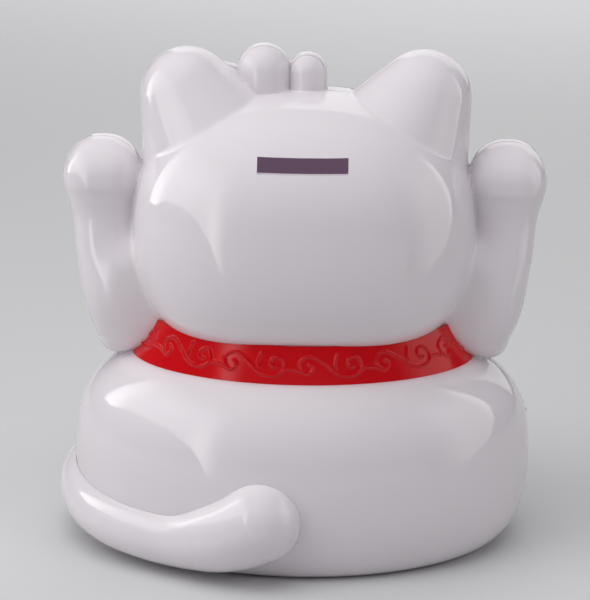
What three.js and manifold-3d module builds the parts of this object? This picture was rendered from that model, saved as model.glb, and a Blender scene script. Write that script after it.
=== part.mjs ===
// A beckoning cat coin bank, in millimetres: it sits on its base at z = 0 and faces -Y, with its left side at +X.
// Two moulded half shells meet at the plane y = 0. A screwed base plate closes them from below and holds the
// coin plug. The tail is screwed on from inside, and a bell hangs from the front half of the collar.
import * as THREE from "three";
import { mergeVertices } from "three/addons/utils/BufferGeometryUtils.js";
import Module from "manifold-3d";

const wasm = await Module();
wasm.setup();

// ---- Driving dimensions -------------------------------------------------------------------------------------
const WALL = 2.6; // moulded wall
const GAP = 0.3; // between neighbouring pieces
const SPARE = 5; // how far a cutting tool runs past what it cuts

const HEAD = {
  centre: [0, 0, 124],
  halfWidth: 67,
  rear: 55,
  front: 53,
  up: 54,
  down: 58,
  power: 2.4,
};
const BODY = {
  halfWidth: 90.2, // at the widest height
  widest: 33,
  baseHalfWidth: 73.5, // of the flat underside
  top: 83, // hidden inside the head
  rearDepth: 0.77, // of the half width at the base
  frontDepth: 0.75,
  depthLoss: 0.0006, // of both, for each millimetre of height
  power: 2.9, // above the widest height
  footPower: 2.2, // below it
};
// The ear's cone is the outline round two balls, the lower one inside the head.
const EAR = { low: [32, 0, 149], lowRadius: 31, tip: [45.5, 0, 175.6], tipRadius: 18.5, depth: 1.05 };
// Each station of a limb is x, y, z and radius.
const ARM = [
  [72.4, -2, 80, 8.6],
  [73.2, -2, 89, 11],
  [74.2, -2, 98, 12.2],
  [77, -2, 113, 12.2],
  [78.1, -2, 127, 12.2],
  [78.6, -2, 136, 14],
  [78.6, -2, 143, 15.4],
];
const SHOULDER = { centre: [60.5, 0, 98.5], size: [23.5, 23.5, 23.5] }; // each arm's root, half in the head
const TAIL = [
  [14.4, 66, 24.5, 15.7],
  [23, 64, 20, 14.6],
  [33, 60.5, 16.3, 13.2],
  [45, 55, 13.5, 11],
  [58, 48, 13.3, 10.4],
  [71, 37.5, 14, 10.3],
  [80, 23.5, 15.5, 10.9],
  [83.9, 8, 17.3, 12.2],
  [83.5, -6, 19, 12.9],
  [79.5, -21, 21.5, 12.3],
  [72, -34, 24, 10],
];
// Three rounded lobes of the forelock: x, top and radius.
const LOBES = [
  { x: 16.2, top: 195.4, radius: 10.4 },
  { x: -0.6, top: 192.2, radius: 7.6 },
  { x: 30.5, top: 187.6, radius: 7.4 },
];
const LOBE_Y = -3;
const LOBE_ROOT = 166;
const FOOT = { centre: [37, -55, 14], size: [22, 26.8, 14] };
const MUZZLE = { centre: [8, -50, 108], size: [10.5, 7.5, 8] };
const BLOSSOM = { centre: [86, -8, 47.5], size: [3.8, 5, 5] }; // low relief on either flank

const SLOT = { width: 34, height: 5.8, z: 158.2 };

// The neck is a short cone, pressed flatter in depth like the body, and it sags towards the front and back.
const NECK = {
  low: [66.8, 76],
  high: [60.4, 90.2],
  depth: 0.73, // of the half width at the low edge
  depthGain: 0.003, // for each millimetre of height
  sag: 1.7,
  buried: 5,
};
const COLLAR = { thickness: 1.5, columns: 32 };

const FLOOR = 6; // thickness of the shells' underside
const PLATE = { halfWidth: 50, halfDepth: 37, thickness: 3, ledge: 6 };
const BASE_SCREW = { x: 40.7, y: 17, boss: 4.2, bossTop: 15 };
const SCREW = { head: 2.8, headHeight: 1.6, shank: 1.45, length: 9.5, hole: 1.8 };
// The tail's screws are driven backwards from inside: x, the y of the seat under the head, and z.
const TAIL_SCREWS = [
  [22, 60, 14],
  [54, 49, 13],
];
const PLUG = { flange: 18, flangeHeight: 1.5, neck: 15.6, top: 7.8, pocket: 8, pocketTop: 4 };
const PIN = { radius: 2, boss: 4, length: 6, bossLength: 11 };
const PIN_PLACES = [
  [60.6, 112],
  [83, 27],
];
const BELL = { radius: 8, wall: 0.8, rim: 0.8, pivot: [0, -56, 77.5], drop: 11.9, lean: 54, pellet: 2.6 };
const HANGER = { radius: 0.8, halfSpan: 3.4, lug: 1.4, lugRadius: 2.2 };

// ---- Solids and meshes --------------------------------------------------------------------------------------
// A closed three.js geometry as a solid that can be cut and joined.
function solid(geometry) {
  geometry.deleteAttribute("normal");
  geometry.deleteAttribute("uv");
  const merged = mergeVertices(geometry, 1e-4);
  const made = new wasm.Manifold(
    new wasm.Mesh({
      numProp: 3,
      vertProperties: new Float32Array(merged.attributes.position.array),
      triVerts: new Uint32Array(merged.index.array),
    }),
  );
  return made.volume() < 0 ? insideOut(merged) : made;
}

function insideOut(merged) {
  const corners = new Uint32Array(merged.index.array);
  for (let i = 0; i < corners.length; i += 3) {
    [corners[i], corners[i + 1]] = [corners[i + 1], corners[i]];
  }
  return new wasm.Manifold(
    new wasm.Mesh({
      numProp: 3,
      vertProperties: new Float32Array(merged.attributes.position.array),
      triVerts: corners,
    }),
  );
}

function join(...solids) {
  return solids.reduce((all, next) => all.add(next));
}

function cut(from, ...tools) {
  return tools.reduce((left, tool) => left.subtract(tool), from);
}

// The biggest separate body of a solid, without the crumbs that a cut can leave.
function biggest(made) {
  return made.decompose().reduce((a, b) => (a.volume() > b.volume() ? a : b));
}

function between(made, low, high) {
  return made.trimByPlane([0, 0, 1], low).trimByPlane([0, 0, -1], -high);
}

const figurine = new THREE.Group();

function addMesh(name, made, look, group = figurine) {
  const { vertProperties, triVerts } = made.getMesh();
  const geometry = new THREE.BufferGeometry();
  geometry.setAttribute("position", new THREE.BufferAttribute(vertProperties, 3));
  geometry.setIndex(new THREE.BufferAttribute(triVerts, 1));
  geometry.computeVertexNormals();
  const mesh = new THREE.Mesh(geometry, look);
  mesh.name = name;
  group.add(mesh);
  return mesh;
}

function finish(color, roughness, metalness = 0) {
  return new THREE.MeshStandardMaterial({ color, roughness, metalness });
}

const whitePlastic = finish(0xe9e6ea, 0.12);
const redPaint = finish(0xb3040c, 0.2);
const plugPlastic = finish(0xcfcdd2, 0.5);
const goldPlating = finish(0xd8a62a, 0.22, 1);
const zincSteel = finish(0xb8babd, 0.35, 1);

// ---- Shapes -------------------------------------------------------------------------------------------------
function eachVertex(geometry, move) {
  const place = geometry.attributes.position;
  const point = new THREE.Vector3();
  for (let i = 0; i < place.count; i++) {
    move(point.fromBufferAttribute(place, i));
    place.setXYZ(i, point.x, point.y, point.z);
  }
  return geometry;
}

// A rounded block with its own reach to the back, the front, the top and the bottom.
function roundedBlock(block, inset, columns, rows) {
  const ball = new THREE.SphereGeometry(1, columns, rows).rotateX(Math.PI / 2);
  const [cx, cy, cz] = block.centre;
  eachVertex(ball, (p) => {
    const wide = block.halfWidth - inset;
    const deep = (p.y > 0 ? block.rear : block.front) - inset;
    const tall = (p.z > 0 ? block.up : block.down) - inset;
    const n = block.power;
    const size =
      Math.abs(p.x / wide) ** n + Math.abs(p.y / deep) ** n + Math.abs(p.z / tall) ** n;
    p.multiplyScalar(size ** (-1 / n));
    p.set(p.x + cx, p.y + cy, p.z + cz);
  });
  return solid(ball);
}

function ellipsoid(centre, size, columns, rows) {
  const ball = new THREE.SphereGeometry(1, columns, rows);
  return solid(ball.scale(...size).translate(...centre));
}

// The body is turned about Z and then pressed flatter at the back and flatter still at the front.
function bodySolid(inset, floor, columns, rows) {
  const { halfWidth, widest, baseHalfWidth, top, power, footPower } = BODY;
  const points = [new THREE.Vector2(0, floor)];
  const corner = halfWidth - baseHalfWidth;
  const footRows = Math.round(rows * 0.4);
  const foot = widest - floor;
  for (let i = 0; i <= footRows; i++) {
    const up = Math.sin((i / footRows) * (Math.PI / 2));
    const out = (1 - (1 - up) ** footPower) ** (1 / footPower);
    points.push(new THREE.Vector2(baseHalfWidth - inset + corner * out, floor + foot * up));
  }
  const rise = top - widest - inset;
  const upperRows = rows - footRows;
  for (let i = 1; i <= upperRows; i++) {
    const angle = (i / upperRows) * (Math.PI / 2);
    const radius = (halfWidth - inset) * Math.cos(angle) ** (2 / power);
    const height = widest + rise * Math.sin(angle) ** (2 / power);
    points.push(new THREE.Vector2(i === upperRows ? 0 : radius, height));
  }
  const turned = new THREE.LatheGeometry(points, columns).rotateX(Math.PI / 2);
  eachVertex(turned, (p) => {
    p.y *= (p.y > 0 ? BODY.rearDepth : BODY.frontDepth) - BODY.depthLoss * p.z;
  });
  return solid(turned);
}

const neckLow = new THREE.Vector2(...NECK.low);
const neckLength = neckLow.distanceTo(new THREE.Vector2(...NECK.high));

// A point of the neck's profile: how far past its lower edge, and how deep below its surface.
function neckPoint(past, depth) {
  const along = new THREE.Vector2(...NECK.high).sub(neckLow).normalize();
  const inward = new THREE.Vector2(-along.y, along.x);
  return neckLow.clone().addScaledVector(along, past).addScaledVector(inward, depth);
}

function neckTurned(profile, columns) {
  const turned = new THREE.LatheGeometry(profile, columns).rotateX(Math.PI / 2);
  eachVertex(turned, (p) => {
    const round = p.y / NECK.low[0];
    p.y *= NECK.depth + NECK.depthGain * (p.z - NECK.low[1]);
    p.z -= NECK.sag * round ** 2;
  });
  return solid(turned);
}

// The neck itself, which runs on into the body and the head.
function neckForm(inset, columns) {
  const low = neckPoint(-NECK.buried, inset);
  const high = neckPoint(neckLength, inset);
  const onAxis = ({ y }) => new THREE.Vector2(0, y);
  return neckTurned([onAxis(low), low, high, onAxis(high)], columns);
}

// A band round the neck, from one depth below the cone's surface to another.
function neckBand(outer, inner, columns) {
  const corners = [
    neckPoint(-NECK.buried, outer),
    neckPoint(neckLength - GAP, outer),
    neckPoint(neckLength - GAP, inner),
    neckPoint(-NECK.buried, inner),
  ];
  return neckTurned([...corners, corners[0]], columns);
}

// The outline round two balls, turned about the line through them.
function roundCone(low, lowRadius, tip, tipRadius, depth, columns, rows) {
  const from = new THREE.Vector3(...low);
  const axis = new THREE.Vector3(...tip).sub(from);
  const length = axis.length();
  const slope = Math.asin((lowRadius - tipRadius) / length);
  const points = [];
  for (let i = 0; i <= rows; i++) {
    const angle = -Math.PI / 2 + (i / rows) * (slope + Math.PI / 2);
    points.push(new THREE.Vector2(lowRadius * Math.cos(angle), lowRadius * Math.sin(angle)));
  }
  for (let i = 0; i <= rows; i++) {
    const angle = slope + (i / rows) * (Math.PI / 2 - slope);
    points.push(new THREE.Vector2(tipRadius * Math.cos(angle), length + tipRadius * Math.sin(angle)));
  }
  points[0].x = 0;
  points[points.length - 1].x = 0;
  const turned = new THREE.LatheGeometry(points, columns);
  const lean = new THREE.Quaternion().setFromUnitVectors(new THREE.Vector3(0, 1, 0), axis.normalize());
  turned.applyQuaternion(lean);
  turned.scale(1, depth, 1);
  return solid(turned.translate(...low));
}

// A ball drawn out along a smooth line through the stations, with the radius that each one states. The line
// never runs along `level`, which keeps its cross-sections from twisting.
function limb(stations, inset, columns, rows, level, side = 1) {
  const capRows = 3;
  const line = new THREE.CatmullRomCurve3(
    stations.map(([x, y, z]) => new THREE.Vector3(side * x, y, z)),
    false,
    "catmullrom",
  );
  const girth = new THREE.CatmullRomCurve3(
    stations.map((s) => new THREE.Vector3(s[3], 0, 0)),
    false,
    "catmullrom",
  );
  const allRows = rows + 2 * capRows;
  const ball = new THREE.SphereGeometry(1, columns, allRows);
  const place = ball.attributes.position;
  for (let row = 0; row <= allRows; row++) {
    const along = THREE.MathUtils.clamp((row - capRows) / rows, 0, 1);
    const past = row - capRows - along * rows; // rows into either rounded end
    const bend = (past / capRows) * (Math.PI / 2);
    const centre = line.getPoint(along);
    const ahead = line.getTangent(along);
    const radius = girth.getPoint(along).x - inset;
    const across = level.clone().cross(ahead).normalize();
    const up = new THREE.Vector3().crossVectors(ahead, across);
    centre.addScaledVector(ahead, radius * Math.sin(bend));
    for (let column = 0; column <= columns; column++) {
      const turn = (column / columns) * 2 * Math.PI;
      const point = centre
        .clone()
        .addScaledVector(across, radius * Math.cos(bend) * Math.cos(turn))
        .addScaledVector(up, radius * Math.cos(bend) * Math.sin(turn));
      place.setXYZ(row * (columns + 1) + column, point.x, point.y, point.z);
    }
  }
  return solid(ball);
}

function mirrored(make) {
  return join(make(1), make(-1));
}

function cylinderZ(radius, low, high, [x, y], columns = 10) {
  const round = new THREE.CylinderGeometry(radius, radius, high - low, columns).rotateX(Math.PI / 2);
  return solid(round.translate(x, y, (low + high) / 2));
}

function cylinderY(radius, low, high, [x, z], columns = 10) {
  const round = new THREE.CylinderGeometry(radius, radius, high - low, columns);
  return solid(round.translate(x, (low + high) / 2, z));
}

function cylinderX(radius, low, high, [y, z], columns = 10) {
  const round = new THREE.CylinderGeometry(radius, radius, high - low, columns).rotateZ(Math.PI / 2);
  return solid(round.translate((low + high) / 2, y, z));
}

function ovalPlate(halfWidth, halfDepth, low, high) {
  const round = new THREE.CylinderGeometry(1, 1, high - low, 32).rotateX(Math.PI / 2);
  return solid(round.scale(halfWidth, halfDepth, 1).translate(0, 0, (low + high) / 2));
}

function box(size, centre) {
  return solid(new THREE.BoxGeometry(...size).translate(...centre));
}

// ---- The cat's form, at its surface or inset from it ----------------------------------------------------------
function headForm(inset, columns, rows) {
  return roundedBlock(HEAD, inset, columns, rows);
}

function armsForm(inset, columns, rows) {
  const backwards = new THREE.Vector3(0, 1, 0);
  return mirrored((side) =>
    join(limb(ARM, inset, columns, rows, backwards, side), shoulderForm(inset, side, columns + 6)),
  );
}

function shoulderForm(inset, side, columns) {
  const [x, y, z] = SHOULDER.centre;
  return ellipsoid([side * x, y, z], SHOULDER.size.map((s) => s - inset), columns, 10);
}

function earForm(inset, side, columns, rows) {
  const flip = ([x, y, z]) => [side * x, y, z];
  return roundCone(
    flip(EAR.low),
    EAR.lowRadius - inset,
    flip(EAR.tip),
    EAR.tipRadius - inset,
    EAR.depth,
    columns,
    rows,
  );
}

function lobeForm(lobe, inset, columns, rows) {
  const radius = lobe.radius - inset;
  const top = [lobe.x, LOBE_Y, lobe.top - lobe.radius];
  return roundCone([lobe.x, LOBE_Y, LOBE_ROOT], radius, top, radius - 0.01, 1, columns, rows);
}

function footForm(inset, side, columns, rows) {
  const [x, y, z] = FOOT.centre;
  return ellipsoid([side * x, y, z], FOOT.size.map((s) => s - inset), columns, rows);
}

function muzzleForm(side) {
  const [x, y, z] = MUZZLE.centre;
  return ellipsoid([side * x, y, z], MUZZLE.size, 10, 6);
}

function blossomForm(side) {
  const [x, y, z] = BLOSSOM.centre;
  return ellipsoid([side * x, y, z], BLOSSOM.size, 8, 5);
}

function outside() {
  return join(
    headForm(0, 32, 18),
    bodySolid(0, 0, 36, 14),
    neckForm(COLLAR.thickness + GAP, COLLAR.columns),
    armsForm(0, 10, 7),
    mirrored((side) => earForm(0, side, 14, 3)),
    ...LOBES.map((lobe) => lobeForm(lobe, 0, 10, 2)),
    mirrored((side) => footForm(0, side, 12, 7)),
    mirrored(muzzleForm),
    mirrored(blossomForm),
  );
}

function inside() {
  return join(
    headForm(WALL, 20, 12),
    bodySolid(WALL, FLOOR, 24, 9),
    neckForm(COLLAR.thickness + GAP + WALL, 24),
    armsForm(WALL, 6, 5),
    mirrored((side) => earForm(WALL, side, 8, 2)),
    ...LOBES.map((lobe) => lobeForm(lobe, WALL, 6, 1)),
    mirrored((side) => footForm(FLOOR, side, 8, 4)),
  );
}

// ---- The two shells -----------------------------------------------------------------------------------------
const baseScrewPlaces = [
  [BASE_SCREW.x, BASE_SCREW.y],
  [-BASE_SCREW.x, BASE_SCREW.y],
  [BASE_SCREW.x, -BASE_SCREW.y],
  [-BASE_SCREW.x, -BASE_SCREW.y],
];
const recessTop = PLATE.thickness + GAP;

// What the base plate, its screws and the coins need out of the shells' underside.
function underside() {
  const { halfWidth, halfDepth, ledge } = PLATE;
  return join(
    ovalPlate(halfWidth, halfDepth, -SPARE, recessTop),
    ovalPlate(halfWidth - ledge, halfDepth - ledge, 0, FLOOR + SPARE),
  );
}

function bosses() {
  const bossBottom = recessTop + 0.01;
  return join(
    ...baseScrewPlaces.map((at) =>
      cut(
        cylinderZ(BASE_SCREW.boss, bossBottom, BASE_SCREW.bossTop, at),
        cylinderZ(SCREW.hole, 0, BASE_SCREW.bossTop - 2, at),
      ),
    ),
  );
}

function screwHoles() {
  return join(...baseScrewPlaces.map((at) => cylinderZ(SCREW.hole, 0, BASE_SCREW.bossTop - 2, at)));
}

// Sockets in the rear half and pins on the front half bring the shells into line.
function sideBosses(low, high, radius) {
  return mirrored((side) => join(...PIN_PLACES.map(([x, z]) => cylinderY(radius, low, high, [side * x, z], 8))));
}

const whole = cut(
  join(cut(outside(), inside()), bosses()),
  underside(),
  screwHoles(),
);

function rearShell() {
  const half = whole.trimByPlane([0, 1, 0], GAP / 2);
  const sockets = sideBosses(GAP / 2, PIN.bossLength, PIN.boss);
  const bores = sideBosses(0, PIN.length + 1, PIN.radius + GAP);
  const slot = box([SLOT.width, 2 * HEAD.rear, SLOT.height], [0, HEAD.rear + SPARE, SLOT.z]);
  const pads = join(...TAIL_SCREWS.map(([x, y, z]) => cylinderY(SCREW.head + 1.6, y, y + 4, [x, z])));
  const holes = TAIL_SCREWS.map(([x, y, z]) =>
    join(cylinderY(SCREW.hole, 30, 80, [x, z]), cylinderY(SCREW.head + GAP, 30, y, [x, z])),
  );
  const within = outside().trimByPlane([0, 1, 0], GAP / 2);
  return biggest(cut(join(half, join(sockets, pads).intersect(within)), slot, bores, ...holes));
}

function frontShell() {
  const half = whole.trimByPlane([0, -1, 0], GAP / 2);
  const pins = join(
    sideBosses(-PIN.bossLength, -GAP / 2, PIN.boss),
    sideBosses(-1, PIN.length, PIN.radius),
  );
  return biggest(join(half, pins.intersect(outside())));
}

addMesh("rear_shell", rearShell(), whitePlastic);
addMesh("front_shell", frontShell(), whitePlastic);

// ---- Tail ---------------------------------------------------------------------------------------------------
// A hollow moulding, open towards the body, with a boss for each of its screws.
function tailShell() {
  const bodyAround = bodySolid(-GAP, 0, 36, 14);
  const upwards = new THREE.Vector3(0, 0, 1);
  const form = limb(TAIL, 0, 12, 16, upwards);
  const studs = join(...TAIL_SCREWS.map(([x, y, z]) => cylinderY(3.4, y, y + 30, [x, z])));
  const bores = join(...TAIL_SCREWS.map(([x, y, z]) => cylinderY(SCREW.hole, y, y + 10, [x, z])));
  const skin = cut(form, limb(TAIL, WALL, 8, 10, upwards));
  const made = cut(join(skin, studs.intersect(form)), bores, bodyAround);
  return biggest(made.trimByPlane([0, 0, 1], 0.2));
}

addMesh("tail", tailShell(), whitePlastic);

// ---- Collar -------------------------------------------------------------------------------------------------
function collarRing() {
  const band = neckBand(0, COLLAR.thickness, COLLAR.columns);
  return cut(band, headForm(-GAP, 32, 18), armsForm(-GAP, 10, 7), bodySolid(-GAP, 0, 36, 14));
}

const ring = collarRing();

// The front half carries two lugs for the bell's hanger pin.
function collarFront() {
  const band = biggest(ring.trimByPlane([0, -1, 0], GAP / 2));
  const [, y, z] = BELL.pivot;
  const lugs = mirrored((side) => {
    const near = side * HANGER.halfSpan;
    const far = side * (HANGER.halfSpan + HANGER.lug);
    const low = Math.min(near, far);
    const high = Math.max(near, far);
    const arm = box([HANGER.lug, 8.5, 3], [(low + high) / 2, y + 3.8, z + 0.4]);
    return join(cylinderX(HANGER.lugRadius, low, high, [y, z]), arm);
  });
  const pinHole = cylinderX(HANGER.radius + GAP, -20, 20, [y, z]);
  const under = neckForm(COLLAR.thickness, COLLAR.columns);
  return join(band, cut(lugs, pinHole, under, headForm(-GAP, 32, 18)));
}

addMesh("collar_rear", biggest(ring.trimByPlane([0, 1, 0], GAP / 2)), redPaint);
addMesh("collar_front", collarFront(), redPaint);

// ---- Bell ---------------------------------------------------------------------------------------------------
// The bell leans on the chest. Its own frame has the hanger pin at the origin and the bell below it.
const bell = new THREE.Group();
bell.position.set(...BELL.pivot);
bell.rotation.x = -THREE.MathUtils.degToRad(BELL.lean);
figurine.add(bell);

function bellHalf(side) {
  const { radius, wall, rim, drop } = BELL;
  const ball = cut(
    join(
      ellipsoid([0, 0, -drop], Array(3).fill(radius), 14, 8),
      cylinderZ(radius + rim, -drop - rim, -drop + rim, [0, 0], 14),
    ),
    ellipsoid([0, 0, -drop], Array(3).fill(radius - wall), 10, 6),
  );
  return ball.trimByPlane([0, 0, side], side * -drop + GAP / 2);
}

function bellUpper() {
  const { radius, drop } = BELL;
  const eye = solid(new THREE.TorusGeometry(2.1, 0.7, 6, 10).rotateY(Math.PI / 2));
  const neck = cylinderZ(1.3, -drop + radius - 0.6, -2.2, [0, 0]);
  return join(bellHalf(1), neck, eye);
}

function bellLower() {
  const { radius, drop } = BELL;
  const bottom = -drop - radius;
  const slit = box([11, 1.4, 9], [0, 0, bottom]);
  const ends = mirrored((side) => cylinderZ(1.5, bottom - 4, bottom + 6, [side * 5.2, 0], 10));
  return cut(bellHalf(-1), slit, ends);
}

addMesh("bell_upper", bellUpper(), goldPlating, bell);
addMesh("bell_lower", bellLower(), goldPlating, bell);
addMesh(
  "bell_hanger_pin",
  cylinderX(
    HANGER.radius,
    -HANGER.halfSpan - HANGER.lug,
    HANGER.halfSpan + HANGER.lug,
    [BELL.pivot[1], BELL.pivot[2]],
  ),
  zincSteel,
);

// The pellet lies at the lowest point inside the bell, whichever way the bell leans.
function pelletPlace() {
  const { pivot, drop, lean, radius, wall, pellet } = BELL;
  const angle = THREE.MathUtils.degToRad(lean);
  const lowest = radius - wall - pellet - GAP;
  return [0, pivot[1] - drop * Math.sin(angle), pivot[2] - drop * Math.cos(angle) - lowest];
}

addMesh("bell_pellet", ellipsoid(pelletPlace(), Array(3).fill(BELL.pellet), 10, 6), zincSteel);

// ---- Base plate, screws and coin plug ---------------------------------------------------------------------------
function basePlate() {
  const { halfWidth, halfDepth, thickness } = PLATE;
  const hole = PLUG.neck + GAP;
  const flange = PLUG.flange + GAP;
  const seat = PLUG.flangeHeight + 2 * GAP;
  return cut(
    join(
      ovalPlate(halfWidth - GAP, halfDepth - GAP, 0, thickness),
      cylinderZ(hole + 2, 0.5, PLUG.top - 1.4, [0, 0], 20),
    ),
    cylinderZ(hole, -SPARE, PLUG.top + SPARE, [0, 0], 20),
    cylinderZ(flange, -SPARE, seat, [0, 0], 20),
    ...baseScrewPlaces.map((at) => cylinderZ(SCREW.hole, -SPARE, SPARE, at)),
    ...baseScrewPlaces.map((at) => cylinderZ(SCREW.head + GAP, -SPARE, SCREW.headHeight + GAP / 2, at)),
  );
}

addMesh("base_plate", basePlate(), whitePlastic);

// A self-tapping screw with a domed head, standing on its head at the origin.
function screw() {
  const { head, headHeight, shank, length } = SCREW;
  const profile = [
    [0, 0],
    [head * 0.6, 0],
    [head, headHeight * 0.6],
    [head, headHeight],
    [shank, headHeight],
    [shank, length - 2],
    [0, length],
  ].map(([x, y]) => new THREE.Vector2(x, y));
  return solid(new THREE.LatheGeometry(profile, 8).rotateX(Math.PI / 2));
}

baseScrewPlaces.forEach(([x, y], i) => {
  addMesh("base_screw_" + (i + 1), screw(), zincSteel).position.set(x, y, 0.05);
});

TAIL_SCREWS.forEach(([x, y, z], i) => {
  const driven = addMesh("tail_screw_" + (i + 1), screw(), zincSteel);
  driven.rotation.x = -Math.PI / 2;
  driven.position.set(x, y - SCREW.headHeight - 0.05, z);
});

function coinPlug() {
  const { flange, flangeHeight, neck, top, pocket, pocketTop } = PLUG;
  const profile = [
    [0, pocketTop],
    [pocket, pocketTop],
    [pocket + 0.6, GAP],
    [flange, GAP],
    [flange, GAP + flangeHeight],
    [neck, GAP + flangeHeight + 0.1],
    [neck, top - 0.6],
    [neck - 0.6, top],
    [neck - 2, top],
    [neck - 2, flangeHeight + 1],
    [pocket + 2.4, flangeHeight + 1],
    [pocket + 1.8, pocketTop + 1.8],
    [0, pocketTop + 1.8],
  ].map(([x, y]) => new THREE.Vector2(x, y));
  const turned = new THREE.LatheGeometry(profile, 20).rotateX(Math.PI / 2);
  const grip = box([2 * pocket + 1, 2.4, pocketTop], [0, 0, pocketTop / 2 + 2 * GAP]);
  return join(solid(turned), grip);
}

addMesh("coin_plug", coinPlug(), plugPlastic);

export default figurine;
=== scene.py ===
"""Looks of the beckoning cat coin bank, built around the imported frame.

Shapes are worked out in millimetres, in the frame's axes: the cat sits at z = 0 and faces -Y, with its left
side at +X. Each piece is turned into metres when it is placed.
"""

import math

import bmesh
import bpy
import numpy as np
from mathutils import Matrix, Vector
from mathutils.kdtree import KDTree


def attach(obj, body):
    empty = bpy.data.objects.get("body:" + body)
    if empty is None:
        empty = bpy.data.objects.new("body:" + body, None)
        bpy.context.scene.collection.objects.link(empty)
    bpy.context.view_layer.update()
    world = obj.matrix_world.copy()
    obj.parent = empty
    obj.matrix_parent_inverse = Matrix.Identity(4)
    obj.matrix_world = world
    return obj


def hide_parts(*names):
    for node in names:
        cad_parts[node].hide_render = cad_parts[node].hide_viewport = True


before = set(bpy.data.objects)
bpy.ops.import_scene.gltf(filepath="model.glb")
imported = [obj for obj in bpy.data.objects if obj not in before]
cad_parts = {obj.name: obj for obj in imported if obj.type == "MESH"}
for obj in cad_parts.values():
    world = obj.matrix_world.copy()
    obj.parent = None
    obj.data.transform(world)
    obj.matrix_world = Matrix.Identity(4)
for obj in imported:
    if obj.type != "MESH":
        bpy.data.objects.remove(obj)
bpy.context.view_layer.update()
MM = 0.001

# ---- Dimensions in mm ----
WALL, GAP, FLOOR = 2.6, 0.3, 6.0  # the shells' walls, the play between parts, and the body's floor
CLEAR = 0.12  # how far the tail and collar keep off the shells
SEAM = dict(deep=0.3, wide=0.42)  # the groove between the shells
POWER, EASE = 2.5, 0.25  # roundness of the head and body
FILLET = dict(arm_root=9, arm_head=3, neck=1.4, foot=4, blossom=0.8, ear=1.6, muzzle=3, lobes=0.9, lock=1.2)
FAR_OFF = 60.0  # stands for any distance too large to matter
HEAD = dict(z=124, wide=67, rear=55, front=54.5, up=54, down=55)
BODY = dict(wide=90.2, widest=33, base=73.5, top=83, rear=0.77, front=0.75, loss=0.0006, power=3.0, foot=2.2)
EAR = dict(low=(32, 0, 149), low_radius=31, tip=(45.5, 0, 175.6), tip_radius=18.5, depth=1.05)
ARM = [(72.4, -2, 80, 8.6), (73.2, -2, 89, 11), (74.2, -2, 98, 12.2), (77, -2, 113, 12.2),
       (78.1, -2, 127, 12.2), (78.6, -2, 136, 14), (78.6, -2, 140, 15.1), (78.6, -2, 142.3, 15.37),
       (78.6, -2, 143.4, 15.4)]
ARM_DEPTH = dict(low=1.5, high=1.08, start=104, end=142)  # depth over width, and the heights of its change
ARM_POWER = 2.8  # roundness of an arm's section
SHOULDER = dict(x=60.5, z=98.5, radius=23.2, half_depth=17, rounding=12)
TAIL = [(14.4, 65.5, 24.5, 15.7), (23, 64, 20, 14.6), (33, 60.5, 16.3, 13.2), (45, 55, 13.5, 11),
        (58, 48, 13.3, 10.4), (71, 37.5, 14, 10.3), (80, 23.5, 15.5, 10.9), (83.9, 8, 17.3, 12.1),
        (83.5, -6, 19, 12.8), (79.5, -21, 21.5, 12.3), (72, -34, 24, 10)]
LOBES = [(16.2, 195.4, 10.4), (-0.6, 192.2, 7.6), (30.5, 187.6, 7.4)]  # x, top, radius
LOBE_Y, LOBE_ROOT = -3, 166
FOOT = ((37, -55, 14), (22, 26.5, 14))
MUZZLE = ((8, -51.2, 108), (10.5, 7.5, 8))
BLOSSOM = ((86, -8, 47.5), (3.8, 5, 5))
PETAL = dict(size=(3.2, 1.9, 1.9), ring=3.0, sunk=0.6, middle=0.36)
SLOT = dict(width=34, height=5.8, z=158.2)
NECK = dict(low=(66.8, 76), high=(60.4, 90.2), depth=0.73, gain=0.003, sag=1.7, buried=5)
COLLAR_DEPTH = 1.5
PLATE = dict(wide=50, deep=37, thick=3, ledge=6)
BASE_SCREW = dict(x=40.7, y=17, boss=4.2, top=15)
SCREW = dict(head=2.8, head_height=1.6, shank=1.45, length=9.5, hole=1.8)
TAIL_SCREWS = [(22, 60, 14), (54, 49, 13)]
PLUG = dict(flange=18, flange_height=1.5, neck=15.6, top=7.8, pocket=8, pocket_top=4)
PIN = dict(radius=2, boss=4, length=6, boss_length=11)
PIN_PLACES = [(60.6, 112), (83, 27)]
BELL = dict(radius=8, wall=0.8, rim=0.8, pivot=(0, -56, 77.5), drop=11.9, lean=54, pellet=2.6)
HANGER = dict(radius=0.8, half_span=3.4, lug=1.4, lug_radius=2.2)
PAINT = 0.16  # thickness of a painted layer
FACE_Y, FEET_Y, PAWS_Y = -70.0, -95.0, -30.0  # where the search for the painted surface starts
FINE = 1.0  # grid step of the shells' outer surface
INNER_FINE = 2.6  # and of their inner surface


# ---- Forms: signed distance in mm, negative inside ----
def swell(u, power=POWER):
    """u to a power, but round at 0, and 1 at 1."""
    low = EASE**power
    return ((u * u + EASE * EASE) ** (power / 2) - low) / ((1 + EASE * EASE) ** (power / 2) - low)


def head_level(p):
    """The head's form: 0 on its surface, and growing outwards."""
    deep = np.where(p[:, 1] > 0, HEAD["rear"], HEAD["front"])
    z = p[:, 2] - HEAD["z"]
    tall = np.where(z > 0, HEAD["up"], HEAD["down"])
    total = swell(p[:, 0] / HEAD["wide"]) + swell(p[:, 1] / deep) + swell(z / tall)
    return HEAD["up"] * (total ** (1 / POWER) - 1)


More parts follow.
